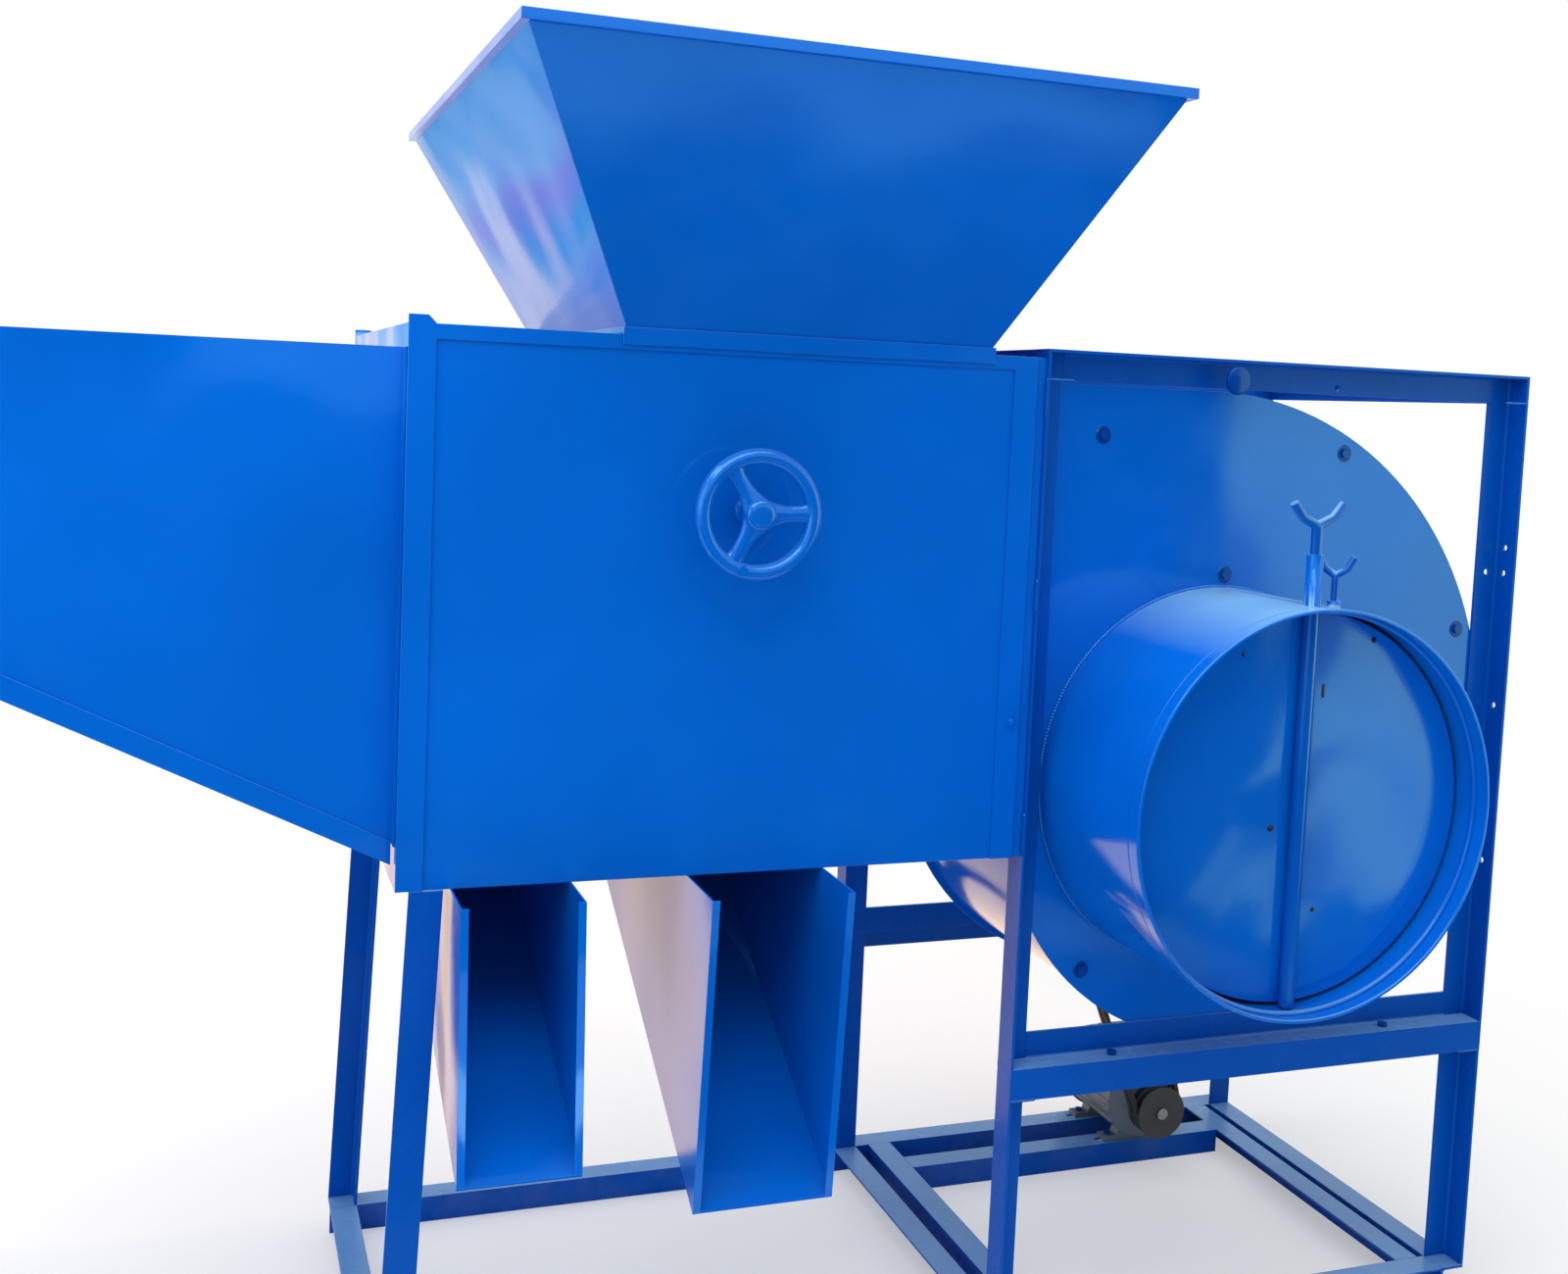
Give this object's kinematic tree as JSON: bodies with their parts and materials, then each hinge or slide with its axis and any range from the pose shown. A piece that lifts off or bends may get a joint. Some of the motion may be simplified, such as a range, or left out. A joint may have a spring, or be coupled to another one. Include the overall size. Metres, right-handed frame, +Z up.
{
  "type": "winnowing machine",
  "caption": "Blue steel winnowing machine: hopper on a separating chamber, side fan with damper and belt drive, tapered exhaust duct and two sloping chutes.",
  "frame": {"origin": "centre of the bounding box at floor level", "axes": "+X along the machine from the exhaust duct to the fan, +Y from the front with the handwheel to the back, +Z up"},
  "size_m": [2.905, 1.234, 2.12],
  "materials": {
    "blue_paint": "glossy bright blue enamel on steel sheet and angle iron",
    "shaft_steel": "turned bare steel",
    "pulley_iron": "dark cast iron with turned faces",
    "bearing_iron": "painted cast iron",
    "belt_rubber": "matt black fabric-faced rubber",
    "motor_paint": "grey paint on ribbed aluminium"
  },
  "bodies": {
    "frame": {"base_inner_rail_left": "blue_paint", "base_inner_rail_right": "blue_paint", "base_rail_front": "blue_paint", "base_rail_left": "blue_paint", "base_rail_middle": "blue_paint", "base_rail_rear": "blue_paint", "base_rail_right": "blue_paint", "bearing_cross_rail": "blue_paint", "bearing_inner": "bearing_iron", "bearing_outer": "bearing_iron", "bolts": "blue_paint", "chamber_divider": "blue_paint", "chamber_floor": "blue_paint", "chamber_front_panel": "blue_paint", "chamber_rear_panel": "blue_paint", "chamber_right_collar": "blue_paint", "chamber_roof": "blue_paint", "chute_left": "blue_paint", "chute_right": "blue_paint", "drive_belts": "belt_rubber", "duct_floor": "blue_paint", "duct_front_panel": "blue_paint", "duct_rear_panel": "blue_paint", "duct_roof": "blue_paint", "fan_post_front_left": "blue_paint", "fan_post_front_right": "blue_paint", "fan_post_rear_left": "blue_paint", "fan_post_rear_right": "blue_paint", "fan_rail_bottom_front": "blue_paint", "fan_rail_bottom_rear": "blue_paint", "fan_rail_top_front": "blue_paint", "fan_rail_top_rear": "blue_paint", "fan_tie_left": "blue_paint", "fan_tie_right": "blue_paint", "hopper": "blue_paint", "inlet_cylinder": "blue_paint", "leg_front_left": "blue_paint", "leg_rear_left": "blue_paint", "motor_housing": "motor_paint", "motor_slide_rail": "blue_paint", "scroll_front_plate": "blue_paint", "scroll_rear_plate": "blue_paint", "scroll_wrapper": "blue_paint", "stand_leg_front_left": "blue_paint", "stand_leg_front_right": "blue_paint", "stand_leg_rear_left": "blue_paint", "stand_leg_rear_right": "blue_paint", "stand_rail_front": "blue_paint", "stand_rail_rear": "blue_paint"},
    "fan": {"impeller": "blue_paint", "fan_shaft": "shaft_steel", "fan_pulley": "pulley_iron"},
    "motor_rotor": {"motor_shaft": "shaft_steel", "motor_pulley": "pulley_iron"},
    "feed_gate": {"handwheel": "blue_paint", "gate_shaft": "blue_paint", "feed_flap": "blue_paint"},
    "damper": {"damper_spindle": "blue_paint", "damper_disc": "blue_paint"},
    "damper_lock": {"damper_lock_screw": "blue_paint"}
  },
  "joints": [
    {"name": "fan_spin", "type": "hinge", "parent": "frame", "child": "fan", "pos_m": [0.85049, 0.141, 1.00499], "axis": [0, 1, 0], "continuous": true},
    {"name": "motor_spin", "type": "hinge", "parent": "frame", "child": "motor_rotor", "pos_m": [1.1415, 0.265, 0.14], "axis": [0, 1, 0], "continuous": true},
    {"name": "feed_gate_turn", "type": "hinge", "parent": "frame", "child": "feed_gate", "pos_m": [-0.0395, -0.349, 1.455], "axis": [0, 1, 0], "range_deg": [0, 90]},
    {"name": "damper_turn", "type": "hinge", "parent": "frame", "child": "damper", "pos_m": [0.85049, -0.559, 1.00499], "axis": [0, 0, 1], "range_deg": [0, 90]},
    {"name": "damper_lock_turn", "type": "hinge", "parent": "frame", "child": "damper_lock", "pos_m": [0.89148, -0.559, 1.34502], "axis": [0, 0, 1], "range_deg": [-80, 0]}
  ],
  "couplings": [
    {"joint": "motor_spin", "follows": "fan_spin", "ratio": 2}
  ]
}
